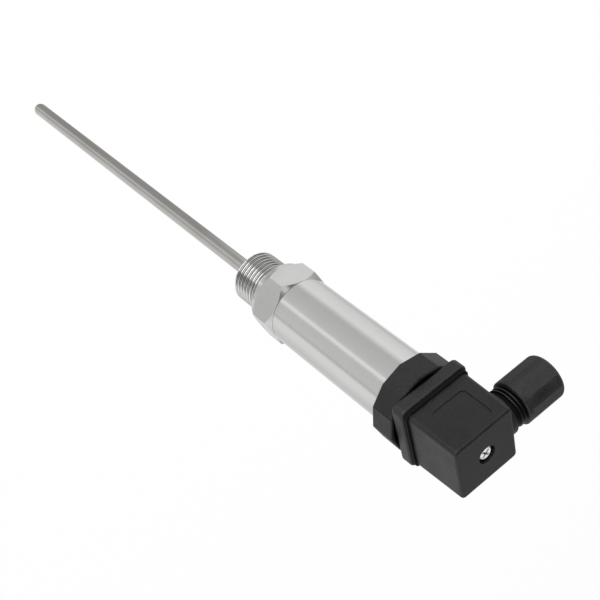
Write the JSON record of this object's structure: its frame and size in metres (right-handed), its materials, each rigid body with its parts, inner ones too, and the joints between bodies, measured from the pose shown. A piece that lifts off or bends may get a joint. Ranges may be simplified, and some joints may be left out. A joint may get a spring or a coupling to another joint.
{
  "type": "temperature sensor",
  "caption": "Screw-in temperature sensor: steel stem and hexagon, round steel housing, twelve-sided collar and square plug with a side cable gland.",
  "frame": {"origin": "centre of the process fitting's sealing face, on the axis, where the thread meets the ring", "axes": "+Z along the axis from the stem towards the plug, +X towards the cable gland, +Y completes the right-handed set and leaves the plug's side that has the shallow panel"},
  "size_m": [0.0541, 0.034, 0.3108],
  "materials": {
    "stem_sheath": "drawn stainless steel, satin",
    "process_fitting": "turned stainless steel",
    "housing_tube": "fine polished stainless steel",
    "black_plastic": "moulded, fine matt",
    "black_rubber": "matt",
    "screw_steel": "bright plated",
    "blade_metal": "tin plated",
    "plain_brass": "plain",
    "white_ceramic": "fired",
    "resin": "cast resin",
    "wire_jacket": "insulated wire",
    "earth_jacket": "insulated wire",
    "board_green": "glass-filled laminate",
    "component_grey": "moulded",
    "natural_plastic": "moulded",
    "block_grey": "moulded"
  },
  "bodies": {
    "sensor": {"stem_sheath": "stem_sheath", "sensing_element": "white_ceramic", "stem_insulator": "white_ceramic", "stem_stopper": "resin", "sensing_wires": "blade_metal", "process_fitting": "process_fitting", "housing_tube": "housing_tube", "insulating_sleeve": "natural_plastic", "board_guide": "natural_plastic", "signal_board": "board_green", "board_components": "component_grey", "collar": "black_plastic", "tube_seal": "black_rubber", "connector_base": "black_plastic", "threaded_insert": "plain_brass", "signal_blades": "blade_metal", "earth_blade": "blade_metal", "output_wires": "wire_jacket", "earth_wire": "earth_jacket", "plug_gasket": "black_rubber"},
    "plug": {"plug_housing": "black_plastic", "terminal_block": "block_grey", "socket_contacts": "blade_metal", "terminal_screws": "screw_steel", "gland_grommet": "black_rubber"},
    "screw_seal": {"screw_seal": "black_rubber"},
    "retaining_screw": {"retaining_screw": "screw_steel"},
    "thrust_ring": {"thrust_ring": "natural_plastic"},
    "gland_nut": {"gland_nut": "black_plastic"}
  },
  "joints": [
    {"name": "plug_lift", "type": "slide", "parent": "sensor", "child": "plug", "axis": [0, 0, 1], "range_m": [0, 0.03]},
    {"name": "retaining_screw_travel", "type": "slide", "parent": "plug", "child": "screw_seal", "axis": [0, 0, 1], "range_m": [0, 0.0065]},
    {"name": "retaining_screw_turn", "type": "hinge", "parent": "screw_seal", "child": "retaining_screw", "pos_m": [0, 0, 0.1076], "axis": [0, 0, 1], "range_deg": [0, 4680]},
    {"name": "gland_nut_travel", "type": "slide", "parent": "plug", "child": "thrust_ring", "axis": [1, 0, 0], "range_m": [0, 0.00988]},
    {"name": "gland_nut_turn", "type": "hinge", "parent": "thrust_ring", "child": "gland_nut", "pos_m": [0.0324, 0, 0.1021], "axis": [1, 0, 0], "range_deg": [0, 2520]}
  ],
  "couplings": [
    {"joint": "retaining_screw_turn", "follows": "retaining_screw_travel", "rad_per_m": 12566},
    {"joint": "gland_nut_turn", "follows": "gland_nut_travel", "rad_per_m": 4452.7}
  ]
}
